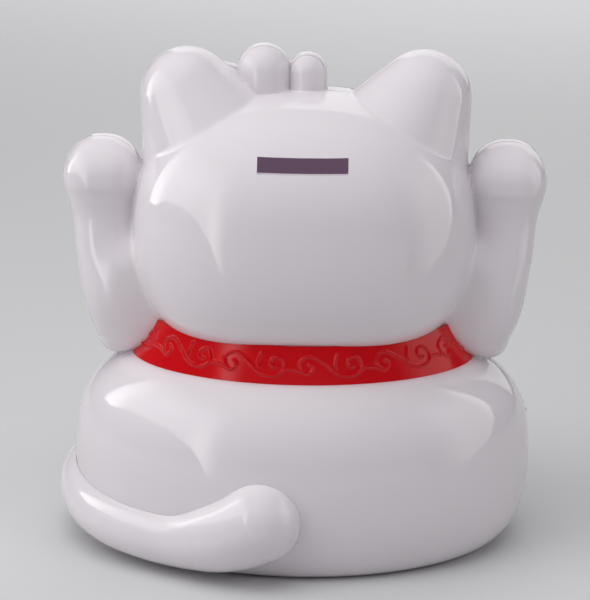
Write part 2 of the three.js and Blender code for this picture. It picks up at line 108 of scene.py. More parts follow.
def body_level(p):
    """The body's form, with a flatter power above its widest height than below."""
    z = p[:, 2]
    depth = np.where(p[:, 1] > 0, BODY["rear"], BODY["front"]) - BODY["loss"] * z
    out = np.hypot(p[:, 0], p[:, 1] / depth)
    rise = np.maximum(z - BODY["widest"], 0) / (BODY["top"] - BODY["widest"])
    power = BODY["power"]
    upper = BODY["wide"] * ((swell(out / BODY["wide"], power) + swell(rise, power)) ** (1 / power) - 1)
    corner = BODY["wide"] - BODY["base"]
    over = np.maximum((out - BODY["base"]) / corner, 0)
    fall = np.maximum(BODY["widest"] - z, 0) / BODY["widest"]
    lower = corner * ((over ** BODY["foot"] + fall ** BODY["foot"]) ** (1 / BODY["foot"]) - 1)
    return np.where(z > BODY["widest"], upper, lower)


def slope_of(form, p, step=0.05):
    """A form's distance at the points, and the way in which it grows."""
    here = form(p)
    slope = np.empty_like(p)
    for axis in range(3):
        ahead = p.copy()
        ahead[:, axis] += step
        slope[:, axis] = (form(ahead) - here) / step
    return here, slope


def as_distance(level, p):
    """A form's level divided by its own slope."""
    here, slope = slope_of(level, p, 0.02)
    return here / np.maximum(np.linalg.norm(slope, axis=1), 0.25)


def ellipsoid(p, centre, size):
    q = (p - centre) / size
    k = np.linalg.norm(q, axis=1)
    return k * (k - 1) / np.maximum(np.linalg.norm(q / size, axis=1), 1e-6)


def round_cone(p, a, b, ra, rb):
    """The outline round two balls."""
    a, b = np.array(a, float), np.array(b, float)
    ab = b - a
    l2 = ab @ ab
    rr = ra - rb
    a2 = l2 - rr * rr
    pa = p - a
    y = pa @ ab
    z = y - l2
    x2 = ((pa * l2 - ab * y[:, None]) ** 2).sum(1)
    y2, z2 = y * y * l2, z * z * l2
    k = np.sign(rr) * rr * rr * x2
    side = (np.sqrt(x2 * a2 / l2) + y * rr) / l2 - ra
    far = np.sqrt(x2 + z2) / l2 - rb
    near = np.sqrt(x2 + y2) / l2 - ra
    return np.where(np.sign(z) * a2 * z2 > k, far, np.where(np.sign(y) * a2 * y2 < k, near, side))


def spline(stations, count):
    """Points of a uniform Catmull-Rom line through the stations."""
    s = np.array(stations, float)
    s = np.vstack([2 * s[0] - s[1], s, 2 * s[-1] - s[-2]])
    t = np.linspace(0, len(stations) - 1, count)
    i = np.minimum(t.astype(int), len(stations) - 2)
    w = (t - i)[:, None]
    a, b, c, d = s[i], s[i + 1], s[i + 2], s[i + 3]
    return 0.5 * (2 * b + (c - a) * w + (2 * a - 5 * b + 4 * c - d) * w**2 + (3 * b - a - 3 * c + d) * w**3)


def blended(a, b, k):
    """The nearer of two forms, with a fillet of about k mm where they meet."""
    h = np.maximum(k - np.abs(a - b), 0) / k
    return np.minimum(a, b) - h**3 * k / 6


ARM_LINE = spline(ARM, 40)
NECK_LOW, NECK_HIGH = np.array(NECK["low"], float), np.array(NECK["high"], float)
NECK_ALONG = (NECK_HIGH - NECK_LOW) / np.linalg.norm(NECK_HIGH - NECK_LOW)
NECK_LENGTH = float(np.linalg.norm(NECK_HIGH - NECK_LOW))
NECK_OUT = np.array([NECK_ALONG[1], -NECK_ALONG[0]])


def neck_place(p):
    """How far out of the neck's cone a point is, and how far past its lower edge."""
    z = p[:, 2]
    for _ in range(3):
        y = p[:, 1] / (NECK["depth"] + NECK["gain"] * (z - NECK["low"][1]))
        z = p[:, 2] + NECK["sag"] * (y / NECK["low"][0]) ** 2
    flat = np.stack([np.hypot(p[:, 0], y), z], 1) - NECK_LOW
    return flat @ NECK_OUT, flat @ NECK_ALONG


def neck(p, depth):
    """The neck's cone, cut short at both ends and `depth` inside its surface."""
    out, past = neck_place(p)
    return np.maximum(np.maximum(out + depth, past - NECK_LENGTH), -NECK["buried"] - past)


def mirror(p):
    q = p.copy()
    q[:, 0] = np.abs(q[:, 0])
    return q


def petals(p):
    """A small five-petalled blossom in low relief on either flank."""
    centre, size = np.array(BLOSSOM[0], float), np.array(BLOSSOM[1], float)
    made = ellipsoid(p, centre, size * (1, PETAL["middle"], PETAL["middle"]))
    for i in range(5):
        turn = 2 * math.pi * i / 5 + math.pi / 2
        at = centre + (-PETAL["sunk"], PETAL["ring"] * math.cos(turn), PETAL["ring"] * math.sin(turn))
        made = np.minimum(made, ellipsoid(p, at, np.array(PETAL["size"])))
    return made


def trunk(p):
    """The body with its feet and flank reliefs."""
    q = mirror(p)
    made = as_distance(body_level, p)
    made = blended(made, ellipsoid(q, *map(np.array, FOOT)), FILLET["foot"])
    close = (np.abs(q - np.array(BLOSSOM[0])) < 14).all(1)
    if close.any():
        made[close] = blended(made[close], petals(q[close]), FILLET["blossom"])
    return made


def head(p):
    """The head with its ears, muzzle and forelock."""
    q = mirror(p)
    made = as_distance(head_level, p)
    pressed = q / (1, EAR["depth"], 1)
    ear = round_cone(pressed, EAR["low"], EAR["tip"], EAR["low_radius"], EAR["tip_radius"])
    made = blended(made, ear, FILLET["ear"])
    made = blended(made, ellipsoid(q, *map(np.array, MUZZLE)), FILLET["muzzle"])
    lock = np.full(len(p), FAR_OFF)
    for x, top, radius in LOBES:
        low, high = (x, LOBE_Y, LOBE_ROOT), (x, LOBE_Y, top - radius)
        lock = blended(lock, round_cone(p, low, high, radius, radius - 0.01), FILLET["lobes"])
    return blended(made, lock, FILLET["lock"])


def shoulder(q):
    """A thick round disc at an arm's root."""
    edge = SHOULDER["rounding"]
    out = np.hypot(q[:, 0] - SHOULDER["x"], q[:, 2] - SHOULDER["z"]) - SHOULDER["radius"] + edge
    side = np.abs(q[:, 1]) - SHOULDER["half_depth"] + edge
    return np.hypot(np.maximum(out, 0), np.maximum(side, 0)) + np.minimum(np.maximum(out, side), 0) - edge


def raised_arm(q):
    """An arm with a flattish back and front, round at its ends."""
    x, y, z = q.T
    rise = np.clip((z - ARM_DEPTH["start"]) / (ARM_DEPTH["end"] - ARM_DEPTH["start"]), 0, 1)
    depth = ARM_DEPTH["low"] + (ARM_DEPTH["high"] - ARM_DEPTH["low"]) * rise * rise * (3 - 2 * rise)
    line_x, line_y, line_z, radii = ARM_LINE.T
    across = np.abs(x - np.interp(z, line_z, line_x))
    deep = np.abs(y - line_y[0]) / depth
    section = (across**ARM_POWER + deep**ARM_POWER) ** (1 / ARM_POWER)
    beyond = z - np.clip(z, line_z[0], line_z[-1])
    return np.hypot(section, beyond) - np.interp(z, line_z, radii)


def figure(p):
    """Head and trunk, joined by the shoulders at the arms' roots."""
    q = mirror(p)
    arm = blended(raised_arm(q), shoulder(q), FILLET["arm_root"])
    return blended(blended(head(p), arm, FILLET["arm_head"]), trunk(p), FILLET["neck"])


def shells(p):
    """The figure, and the neck inside the collar."""
    return np.minimum(figure(p), neck(p, COLLAR_DEPTH + GAP))


def skin(p):
    """The outer surface of the two shells, with a rounded groove where they meet."""
    return shells(p) + SEAM["deep"] * np.exp(-((p[:, 1] / SEAM["wide"]) ** 2))


def cavity(p):
    """The hollow inside the two shells."""
    return np.maximum(shells(p) + WALL, FLOOR - p[:, 2])


def clearance(p):
    """What the tail and collar keep clear of."""
    return figure(p) - CLEAR


# ---- Surfaces from forms ----
def points_at(axes, cells):
    return np.stack([axes[i][cells[:, i]] for i in range(3)], 1)


def sample(form, axes, stride=4):
    """The form on a grid, worked out only near its surface."""
    shape = tuple(len(a) for a in axes)
    rough_axes = [a[::stride] for a in axes]
    rough = form(np.stack(np.meshgrid(*rough_axes, indexing="ij"), -1).reshape(-1, 3))
    rough = rough.reshape([len(a) for a in rough_axes])
    for axis in range(3):
        rough = np.repeat(rough, stride, axis=axis)
    rough = rough[: shape[0], : shape[1], : shape[2]]
    reach = stride * max(np.diff(a).max() for a in axes) * 2.0
    values = np.where(rough < 0, -reach, reach)
    near = np.argwhere(np.abs(rough) < reach)
    values[tuple(near.T)] = form(points_at(axes, near))
    return values


def surface(form, axes):
    """Points and quads of a form's surface, one point to each grid cell that it crosses."""
    values = sample(form, axes)
    inside = values < 0
    count = np.zeros(np.array(values.shape) - 1, int)
    for corner in np.ndindex(2, 2, 2):
        count += inside[tuple(slice(c, n - 1 + c) for c, n in zip(corner, values.shape))]
    cells = np.argwhere((count > 0) & (count < 8))
    index = np.full(count.shape, -1)
    index[tuple(cells.T)] = np.arange(len(cells))
    place = np.zeros((len(cells), 3))
    hits = np.zeros(len(cells))
    units = np.eye(3, dtype=int)
    for axis in range(3):
        u, v = units[(axis + 1) % 3], units[(axis + 2) % 3]
        for shift in (0 * u, u, v, u + v):
            a, b = cells + shift, cells + shift + units[axis]
            fa, fb = values[tuple(a.T)], values[tuple(b.T)]
            cross = (fa < 0) != (fb < 0)
            t = (fa / np.where(cross, fa - fb, 1))[:, None]
            pa, pb = points_at(axes, a), points_at(axes, b)
            place += np.where(cross[:, None], pa + t * (pb - pa), 0)
            hits += cross
    place /= hits[:, None]
    quads = []
    for axis in range(3):
        u, v = units[(axis + 1) % 3], units[(axis + 2) % 3]
        whole = [slice(1, n - 1) for n in inside.shape]
        n = inside.shape[axis]
        low = inside[(*whole[:axis], slice(0, n - 1), *whole[axis + 1:])]
        high = inside[(*whole[:axis], slice(1, n), *whole[axis + 1:])]
        edge = np.argwhere(low != high)
        out = low[tuple(edge.T)]
        edge = edge + u + v
        quad = np.stack([index[tuple((edge - s).T)] for s in (0 * u, u, u + v, v)], 1)
        quad[~out] = quad[~out][:, ::-1]
        quads.append(quad)
    return place, np.vstack(quads)


def unit(vectors):
    """The vectors with their lengths made 1."""
    return vectors / np.maximum(np.linalg.norm(vectors, axis=1), 1e-6)[:, None]


def settle(form, p, quads, rounds, smooth, hold=0.0):
    """Moves points onto a surface, and evens them out in the first rounds, save within `hold` of y = 0."""
    edges = np.vstack([quads[:, [i, (i + 1) % 4]] for i in range(4)])
    degree = np.maximum(np.bincount(edges.ravel(), minlength=len(p)), 1)[:, None]
    free = (np.abs(p[:, 1]) >= hold)[:, None]
    for i in range(rounds):
        here, slope = slope_of(form, p)
        size = np.maximum((slope**2).sum(1), 0.04)[:, None]
        step = -here[:, None] * slope / size
        if i < smooth:
            mean = np.zeros_like(p)
            for axis in range(3):
                mean[:, axis] += np.bincount(edges[:, 0], p[edges[:, 1], axis], len(p))
                mean[:, axis] += np.bincount(edges[:, 1], p[edges[:, 0], axis], len(p))
            pull = (mean / degree - p) * 0.5 * free
            step += pull - slope * ((pull * slope).sum(1)[:, None] / size)
        p = p + np.clip(step, -1.0, 1.0)
    return p


def steps(low, high, step):
    """Even steps from low to high, none longer than the step."""
    return np.linspace(low, high, int(math.ceil((high - low) / step)) + 1)


# ---- Meshes and solid cuts ----
def link(name, data):
    """A new object in the scene."""
    made = bpy.data.objects.new(name, data)
    bpy.context.scene.collection.objects.link(made)
    return made


def solid(name, points, faces):
    """A mesh object of a few points and faces of any size."""
    mesh = bpy.data.meshes.new(name)
    mesh.from_pydata([tuple(p) for p in points], [], [tuple(f) for f in faces])
    mesh.validate()
    return link(name, mesh)


def ring_faces(first, rings, columns):
    """The quads between successive closed rings of points, counted from the first point."""
    faces = []
    for ring in range(rings - 1):
        start = first + ring * columns
        for j in range(columns):
            a, b = start + j, start + (j + 1) % columns
            faces.append((a, a + columns, b + columns, b))
    return faces


def grid_solid(name, points, quads):
    """A mesh object of many points and quads."""
    mesh = bpy.data.meshes.new(name)
    mesh.vertices.add(len(points))
    mesh.vertices.foreach_set("co", np.asarray(points, np.float32).ravel())
    mesh.loops.add(quads.size)
    mesh.loops.foreach_set("vertex_index", np.asarray(quads, np.int32).ravel())
    mesh.polygons.add(len(quads))
    mesh.polygons.foreach_set("loop_start", np.arange(0, quads.size, quads.shape[1], dtype=np.int32))
    mesh.update(calc_edges=True)
    return link(name, mesh)


def give(made, name, values):
    """Stores a value for each point of a mesh, for its material to read."""
    made.data.attributes.new(name, "FLOAT", "POINT").data.foreach_set("value", values)


def bake(made):
    """Applies an object's modifiers."""
    graph = bpy.context.evaluated_depsgraph_get()
    mesh = bpy.data.meshes.new_from_object(made.evaluated_get(graph))
    made.modifiers.clear()
    made.data = mesh
    return made


def drop(*objects):
    for o in objects:
        bpy.data.objects.remove(o)


def combine(operation, target, *tools):
    for tool in tools:
        cutter = target.modifiers.new("combine", "BOOLEAN")
        cutter.operation = operation
        cutter.solver = "MANIFOLD"
        cutter.object = tool
        bake(target)
    drop(*tools)
    return target


def cut(target, *tools):
    return combine("DIFFERENCE", target, *tools)


def join(target, *tools):
    return combine("UNION", target, *tools)


def keep(target, tool):
    return combine("INTERSECT", target, tool)


def copy_of(made):
    return link(made.name + "_copy", made.data.copy())


def block(low, high):
    (x0, y0, z0), (x1, y1, z1) = low, high
    points = [(x, y, z) for x in (x0, x1) for y in (y0, y1) for z in (z0, z1)]
    faces = [(0, 1, 3, 2), (4, 6, 7, 5), (0, 4, 5, 1), (2, 3, 7, 6), (0, 2, 6, 4), (1, 5, 7, 3)]
    return solid("block", points, faces)


def turned(profile, columns=48, axis="Z", at=(0, 0, 0), stretch=(1, 1, 1)):
    """A profile of radius and height, from one end on the axis to the other, turned about the axis."""
    points, faces, rings = [], [], []
    turns = [2 * math.pi * i / columns for i in range(columns)]
    for r, h in profile:
        on_axis = r < 1e-6
        rings.append([len(points) + (0 if on_axis else i) for i in range(columns)])
        points += [(0, 0, h)] if on_axis else [(r * math.cos(a), r * math.sin(a), h) for a in turns]
    for low, high in zip(rings[:-1], rings[1:]):
        for i in range(columns):
            j = (i + 1) % columns
            face = [low[i], low[j], high[j], high[i]]
            face = [v for n, v in enumerate(face) if v != face[n - 1]]
            if len(face) > 2:
                faces.append(face)
    made = solid("turned", points, faces)
    lean = {
        "Z": Matrix.Identity(4),
        "Y": Matrix.Rotation(-math.pi / 2, 4, "X"),
        "X": Matrix.Rotation(math.pi / 2, 4, "Y"),
    }
    made.data.transform(Matrix.Translation(at) @ Matrix.Diagonal((*stretch, 1)) @ lean[axis])
    return made


def rod(radius, low, high, axis="Z", at=(0, 0), columns=32, round_by=0.0):
    """A cylinder along an axis; `at` is its place on the other two axes."""
    r = min(round_by, radius * 0.9)
    bend = [math.pi / 2 * i / 4 for i in range(5)] if r else [0]
    flat = radius - r
    start = [(flat + r * math.sin(a), low + r - r * math.cos(a)) for a in bend]
    end = [(flat + r * math.cos(a), high - r + r * math.sin(a)) for a in bend]
    spot = {"Z": (at[0], at[1], 0), "Y": (at[0], 0, at[1]), "X": (0, at[0], at[1])}[axis]
    return turned([(0, low), *start, *end, (0, high)], columns, axis, spot)


def tube(line, columns, inset=0.0, cap_rows=10):
    """A ball drawn along a line of x, y, z, radius, as a mesh."""
    points, faces = [], []
    middle, radii = line[:, :3], line[:, 3] - inset
    ahead = unit(np.gradient(middle, axis=0))
    bends = [math.pi / 2 * i / cap_rows for i in range(1, cap_rows + 1)]
    rows = [(0, -bend) for bend in reversed(bends)] + [(i, 0.0) for i in range(len(line))]
    rows += [(len(line) - 1, bend) for bend in bends]
    for k, bend in rows:
        across = np.cross((0, 0, 1), ahead[k])
        across /= np.linalg.norm(across)
        up = np.cross(ahead[k], across)
        centre = middle[k] + ahead[k] * radii[k] * math.sin(bend)
        if abs(abs(bend) - math.pi / 2) < 1e-6:
            points.append(centre)
            continue
        ring_radius = radii[k] * math.cos(bend)
        for j in range(columns):
            turn = 2 * math.pi * j / columns
            points.append(centre + ring_radius * (across * math.cos(turn) + up * math.sin(turn)))
    last = len(points) - 1
    for j in range(columns):
        faces.append((0, 1 + (j + 1) % columns, 1 + j))
        faces.append((last, last - columns + j, last - columns + (j + 1) % columns))
    faces += [(a, d, c, b) for a, b, c, d in ring_faces(1, len(rows) - 2, columns)]
    return solid("tube", points, faces)


def place(made, name, body, slot, nodes=(), sharp=35, move=None):
    """Turns a finished mesh into a piece: in metres, smooth but for sharp edges, and riding on its body."""
    made.name = made.data.name = name
    if move is not None:
        made.data.transform(move)
    made.data.transform(Matrix.Scale(MM, 4))
    made.data.materials.clear()
    made.data.materials.append(LOOKS[slot])
    if sharp is not None:
        made.data.shade_smooth()
        made.data.set_sharp_from_angle(angle=math.radians(sharp))
    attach(made, body)
    if nodes:
        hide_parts(*nodes)
    return made


def soften(made, width, angle=40, segments=2):
    """Rounds a mesh's hard edges."""
    bevel = made.modifiers.new("soften", "BEVEL")
    bevel.width = width
    bevel.segments = segments
    bevel.limit_method = "ANGLE"
    bevel.angle_limit = math.radians(angle)
    return bake(made)


# ---- Materials ----
LOOKS = {}  # the materials, by the names of their slots


def shader_of(look):
    return look.node_tree.nodes["Principled BSDF"]


def set_inputs(node, **values):
    """Sets a node's inputs by name, with _ for each space."""
    for key, value in values.items():
        node.inputs[key.replace("_", " ")].default_value = value


def material(name, colour, roughness, metallic=0.0, tint=0.03, rough_by=0.03, grain=400.0, bump=0.0,
             wave=60.0, wave_bump=0.0, **more):
    """Moulded or painted stuff: a faint drift in colour, uneven polish, a fine grain, a slow waviness."""
    look = bpy.data.materials.new(name)
    look.use_nodes = True
    nodes, links = look.node_tree.nodes, look.node_tree.links
    shader = shader_of(look)
    set_inputs(shader, Metallic=metallic, **more)
    where = nodes.new("ShaderNodeTexCoord")
    slow, fine = nodes.new("ShaderNodeTexNoise"), nodes.new("ShaderNodeTexNoise")
    for noise, scale, detail in ((slow, wave, 2.0), (fine, grain, 4.0)):
        set_inputs(noise, Scale=scale, Detail=detail)
        links.new(where.outputs["Object"], noise.inputs["Vector"])
    mix = nodes.new("ShaderNodeMix")
    mix.data_type = "RGBA"
    mix.inputs[6].default_value = (*[max(c * (1 - tint), 0) for c in colour], 1)
    mix.inputs[7].default_value = (*[min(c * (1 + tint), 1) for c in colour], 1)
    links.new(slow.outputs["Fac"], mix.inputs[0])
    links.new(mix.outputs[2], shader.inputs["Base Color"])
    spread = nodes.new("ShaderNodeMapRange")
    set_inputs(spread, To_Min=roughness - rough_by, To_Max=roughness + rough_by)
    links.new(fine.outputs["Fac"], spread.inputs["Value"])
    links.new(spread.outputs["Result"], shader.inputs["Roughness"])
    last = None
    for noise, height in ((slow, wave_bump), (fine, bump)):
        if height:
            relief = nodes.new("ShaderNodeBump")
            set_inputs(relief, Strength=1.0, Distance=height)
            links.new(noise.outputs["Fac"], relief.inputs["Height"])
            if last is not None:
                links.new(last.outputs["Normal"], relief.inputs["Normal"])
            last = relief
    if last is not None:
        links.new(last.outputs["Normal"], shader.inputs["Normal"])
    LOOKS[name] = look
    return look


def read_values(look, name, socket):
    """Lets a material's socket follow the values that the mesh stores under a name."""
    read = look.node_tree.nodes.new("ShaderNodeAttribute")
    read.attribute_name = name
    look.node_tree.links.new(read.outputs["Fac"], socket)


def shining(name):
    """A material that only gives light, and its shader."""
    look = bpy.data.materials.new(name)
    look.use_nodes = True
    nodes = look.node_tree.nodes
    nodes.clear()
    shine = nodes.new("ShaderNodeEmission")
    end = nodes.new("ShaderNodeOutputMaterial")
    look.node_tree.links.new(shine.outputs["Emission"], end.inputs["Surface"])
    return look, shine


WHITE = (0.80, 0.757, 0.79)
RED = (0.64, 0.0, 0.004)
white = material(
    "white_plastic", WHITE, 0.06, tint=0.015, rough_by=0.012, grain=900, bump=3e-6, wave=45,
    wave_bump=1.2e-4, Specular_IOR_Level=0.65)
# Painted light: the inner wall's mauve colour stands for light seen through the plastic.
inner = material(
    "inner_plastic", (0.29, 0.21, 0.28), 0.5, rough_by=0.06, grain=700, bump=1.5e-5)
material(
    "red_paint", RED, 0.17, tint=0.10, rough_by=0.05, grain=1500, bump=8e-6, wave=80, wave_bump=6e-5,
    Specular_IOR_Level=0.34)
material(
    "plug_plastic", (0.55, 0.54, 0.56), 0.45, tint=0.05, rough_by=0.08, grain=1800, bump=2e-5)
material(
    "gold_plating", (0.86, 0.58, 0.17), 0.2, 1.0, tint=0.06, rough_by=0.06, grain=900, bump=5e-6)
material(
    "zinc_steel", (0.55, 0.56, 0.58), 0.33, 1.0, tint=0.08, rough_by=0.08, grain=2500, bump=1e-5)
material(
    "black_paint", (0.014, 0.012, 0.014), 0.16, tint=0.2, rough_by=0.05, grain=1200, bump=5e-6)
material(
    "pink_paint", (0.72, 0.24, 0.27), 0.28, tint=0.06, rough_by=0.06, grain=1200, bump=8e-6)
# Painted light: the inner wall glows a little and is coloured mauve, as if light came through the white
# plastic; it is no lamp.
set_inputs(shader_of(inner), Emission_Color=(0.35, 0.23, 0.34, 1), Emission_Strength=0.23)


def add_blush(look, colour):
    """A red tint near the collar, by the mesh's own `blush` values, over the plastic's colour."""
    base = shader_of(look).inputs["Base Color"]
    plain = base.links[0].from_socket
    over = look.node_tree.nodes.new("ShaderNodeMix")
    over.data_type = "RGBA"
    over.inputs[7].default_value = (*colour, 1)
    read_values(look, "blush", over.inputs[0])
    look.node_tree.links.new(plain, over.inputs[6])
    look.node_tree.links.new(over.outputs[2], base)


add_blush(white, (0.75, 0.10, 0.14))


# ---- Collar: a band on the neck's cone, with a scroll in relief ----
UNITS = 12  # how often the scroll repeats round the neck
UNIT_LENGTH = 29.6  # the length that the scroll's lines are drawn for
SCROLL = [
    [(0, 6.7), (1.4, 5.2), (0.7, 3.4), (-0.7, 2.6), (-2.6, 3.9), (-3.7, 6.8), (-2.6, 8.8), (0, 10),
     (2.6, 9.2), (6.5, 6.3), (9.8, 3.2), (12.2, 2), (15, 1.5), (18, 2.1), (20, 4.1), (20.1, 6.4),
     (18.9, 8.7), (17.2, 9.3), (15.3, 8.4), (14.8, 6.6), (15.8, 5.2), (17, 5.2)],
    [(20.6, 4.4), (23.2, 4.5), (25.1, 4.1), (26.4, 3.6)],
    [(10.3, 4.8), (9.8, 6.6), (10.4, 8.9), (10.8, 10.5)],
]
RIDGE, RIDGE_HEIGHT = 0.72, 0.8  # half width and height of the scroll
SCROLL_START = 3.3  # arc from the middle of the back to the top of an arch
SCROLL_BASE = 1.6  # rise over the band's lower edge
SCROLL_REACH = 5  # how far a repeat's lines go back past its own start


def neck_point(turn, past, out):
    """Points of the neck: turn from the middle of the back towards -X, height up the cone and off it."""
    flat = NECK_LOW[:, None] + NECK_ALONG[:, None] * past + NECK_OUT[:, None] * out
    deep = NECK["depth"] + NECK["gain"] * (flat[1] - NECK["low"][1])
    x, y = -flat[0] * np.sin(turn), flat[0] * np.cos(turn)
    return np.stack([x, y * deep, flat[1] - NECK["sag"] * (y / NECK["low"][0]) ** 2], -1)


def scroll_height(arc, past, pitch):
    """Height of the relief at a place on the band."""
    s = np.mod(arc - SCROLL_START + SCROLL_REACH, pitch) - SCROLL_REACH
    gap = np.full(arc.shape, FAR_OFF)
    for line in SCROLL:
        fine = spline([(a * pitch / UNIT_LENGTH, b + SCROLL_BASE) for a, b in line], 5 * len(line))
        for shift in (0, pitch):
            for (ax, ay), (bx, by) in zip(fine[:-1] - (shift, 0), fine[1:] - (shift, 0)):
                dx, dy = bx - ax, by - ay
                t = np.clip(((s - ax) * dx + (past - ay) * dy) / (dx * dx + dy * dy), 0, 1)
                gap = np.minimum(gap, np.hypot(s - ax - t * dx, past - ay - t * dy))
    w = np.clip(1 - gap / RIDGE, 0, 1)
    return RIDGE_HEIGHT * w * w * (3 - 2 * w)


def collar_band():
    """The whole collar, as a closed ring with the scroll in relief on its outside."""
    columns = 1120
    rows = 52
    turn = np.linspace(0, 2 * math.pi, columns, endpoint=False)
    mid = neck_point(turn, NECK_LENGTH / 2, np.zeros(columns))
    ring = np.linalg.norm(np.roll(mid, -1, 0) - mid, axis=1)
    arc = np.concatenate([[0], np.cumsum(ring)[:-1]])
    pitch = ring.sum() / UNITS
    past = np.concatenate([[-NECK["buried"]], np.linspace(-1.5, NECK_LENGTH - 0.1, rows)])
    outer = [neck_point(turn, p, scroll_height(arc, np.full(columns, p), pitch)) for p in past]
    inner_rows = [neck_point(turn, p, np.full(columns, -COLLAR_DEPTH)) for p in (past[-1], past[0])]
    points = np.concatenate(outer + inner_rows)
    quads = np.array(ring_faces(0, len(outer) + 3, columns)) % len(points)  # the last ring is the first again
    return grid_solid("band", points, quads)


# ---- Building: clearance, collar, tail ----
KEEP_OUT_TOP = 108  # above the collar
coarse = 1.25
axes = [steps(-98, 98, coarse), steps(-84, 80, coarse), steps(-3, KEEP_OUT_TOP + 4, coarse)]
clear_points, clear_quads = surface(lambda p: np.maximum(clearance(p), p[:, 2] - KEEP_OUT_TOP), axes)
keep_out = grid_solid("keep_out", settle(clearance, clear_points, clear_quads, 2, 1), clear_quads)

band = cut(collar_band(), copy_of(keep_out))
band_front = keep(copy_of(band), block((-100, -100, 50), (100, -GAP / 2, 120)))
band_rear = keep(band, block((-100, GAP / 2, 50), (100, 100, 120)))
_, pivot_y, pivot_z = BELL["pivot"]
for side in (-1, 1):
    x0, x1 = sorted((side * HANGER["half_span"], side * (HANGER["half_span"] + HANGER["lug"])))
    lug = rod(HANGER["lug_radius"], x0, x1, "X", (pivot_y, pivot_z), 32, 0.3)
    arm = block((x0 + 0.05, pivot_y, pivot_z - 1.0), (x1 - 0.05, pivot_y + 7.6, pivot_z + 1.8))
    lug = cut(join(lug, arm), rod(HANGER["radius"] + GAP / 2, -20, 20, "X", (pivot_y, pivot_z), 24))
    join(band_front, lug)
place(band_rear, "collar_back", "cat", "red_paint", ["collar_rear"], sharp=50)
place(band_front, "collar_chest", "cat", "red_paint", ["collar_front"], sharp=50)

tail_line = spline(TAIL, 150)
tail = cut(tube(tail_line, 96), tube(tail_line[::3], 40, WALL))
for x, y, z in TAIL_SCREWS:
    join(tail, keep(rod(3.4, y, y + 30, "Y", (x, z)), tube(tail_line[::3], 48, 0.6)))
holes = [rod(SCREW["hole"], y - 1, y + 10, "Y", (x, z)) for x, y, z in TAIL_SCREWS]
tail = cut(tail, *holes, copy_of(keep_out))
tail = keep(tail, block((-120, -120, 0.2), (120, 120, 100)))
place(tail, "tail_moulding", "cat", "white_plastic", ["tail"], sharp=40)
drop(keep_out)

# ---- Building: the two shells ----
near = [-2.0, -1.5, -1.1, -0.8, -0.55, -0.35, -0.17, 0, 0.17, 0.35, 0.55, 0.8, 1.1, 1.5, 2.0]
axes = [
    steps(-97, 97, FINE),
    np.concatenate([steps(-85, -2, FINE)[:-1], near, steps(2, 74, FINE)[1:]]),
    steps(-2.5, 198, FINE),
]
outer_points, outer_quads = surface(skin, axes)
outer_points = settle(skin, outer_points, outer_quads, 4, 2, hold=2.6)
inner_axes = [steps(-95, 95, INNER_FINE), steps(-80, 70, INNER_FINE), steps(0, 197, INNER_FINE)]
inner_points, inner_quads = surface(cavity, inner_axes)
inner_points = settle(cavity, inner_points, inner_quads, 2, 1)
shell = grid_solid("shell", np.vstack([outer_points, inner_points]),
                   np.vstack([outer_quads, inner_quads[:, ::-1] + len(outer_points)]))

recess = PLATE["thick"] + GAP
corners = [(sx * BASE_SCREW["x"], sy * BASE_SCREW["y"]) for sy in (1, -1) for sx in (1, -1)]
for at in corners:
    join(shell, rod(BASE_SCREW["boss"], recess + 0.02, BASE_SCREW["top"], "Z", at, 28, 0.5))


def oval(wide, deep, low, high):
    """An upright cylinder with an oval section."""
    return turned([(0, low), (1, low), (1, high), (0, high)], 96, "Z", (0, 0, 0), (wide, deep, 1))


cut(
    shell,
    oval(PLATE["wide"], PLATE["deep"], -5, recess),
    oval(PLATE["wide"] - PLATE["ledge"], PLATE["deep"] - PLATE["ledge"], 0.5, FLOOR + 1),
)
for at in corners:
    join(shell, rod(BASE_SCREW["boss"], recess - 0.01, BASE_SCREW["top"] - 0.3, "Z", at, 28))
cut(shell, *[rod(SCREW["hole"], -1, BASE_SCREW["top"] - 2, "Z", at, 24) for at in corners])

front = keep(copy_of(shell), block((-120, -120, 0.01), (120, -GAP / 2, 220)))
rear = keep(shell, block((-120, GAP / 2, 0.01), (120, 120, 220)))
for side in (-1, 1):
    for x, z in PIN_PLACES:
        spot = (side * x, z)
        join(rear, rod(PIN["boss"], GAP / 2, PIN["boss_length"], "Y", spot, 28))
        cut(rear, rod(PIN["radius"] + GAP, -0.5, PIN["length"] + 1, "Y", spot, 24))
        join(front, rod(PIN["boss"], -PIN["boss_length"], -GAP / 2, "Y", spot, 28))
        join(front, rod(PIN["radius"], -1, PIN["length"], "Y", spot, 24, 0.4))
half_width, half_height = SLOT["width"] / 2, SLOT["height"] / 2
cut(rear, block((-half_width, 5, SLOT["z"] - half_height), (half_width, 90, SLOT["z"] + half_height)))
for x, y, z in TAIL_SCREWS:
    join(rear, rod(SCREW["head"] + 1.6, y, y + 3.5, "Y", (x, z), 28))
    cut(rear, rod(SCREW["hole"], 30, 80, "Y", (x, z), 24), rod(SCREW["head"] + GAP, 30, y, "Y", (x, z), 24))


def values_of(things, key, kind):
    """One property of all of a mesh's vertices, loops or faces."""
    width = 3 if key in ("co", "normal") else 1
    values = np.empty(len(things) * width, kind)
    things.foreach_get(key, values)
    return values


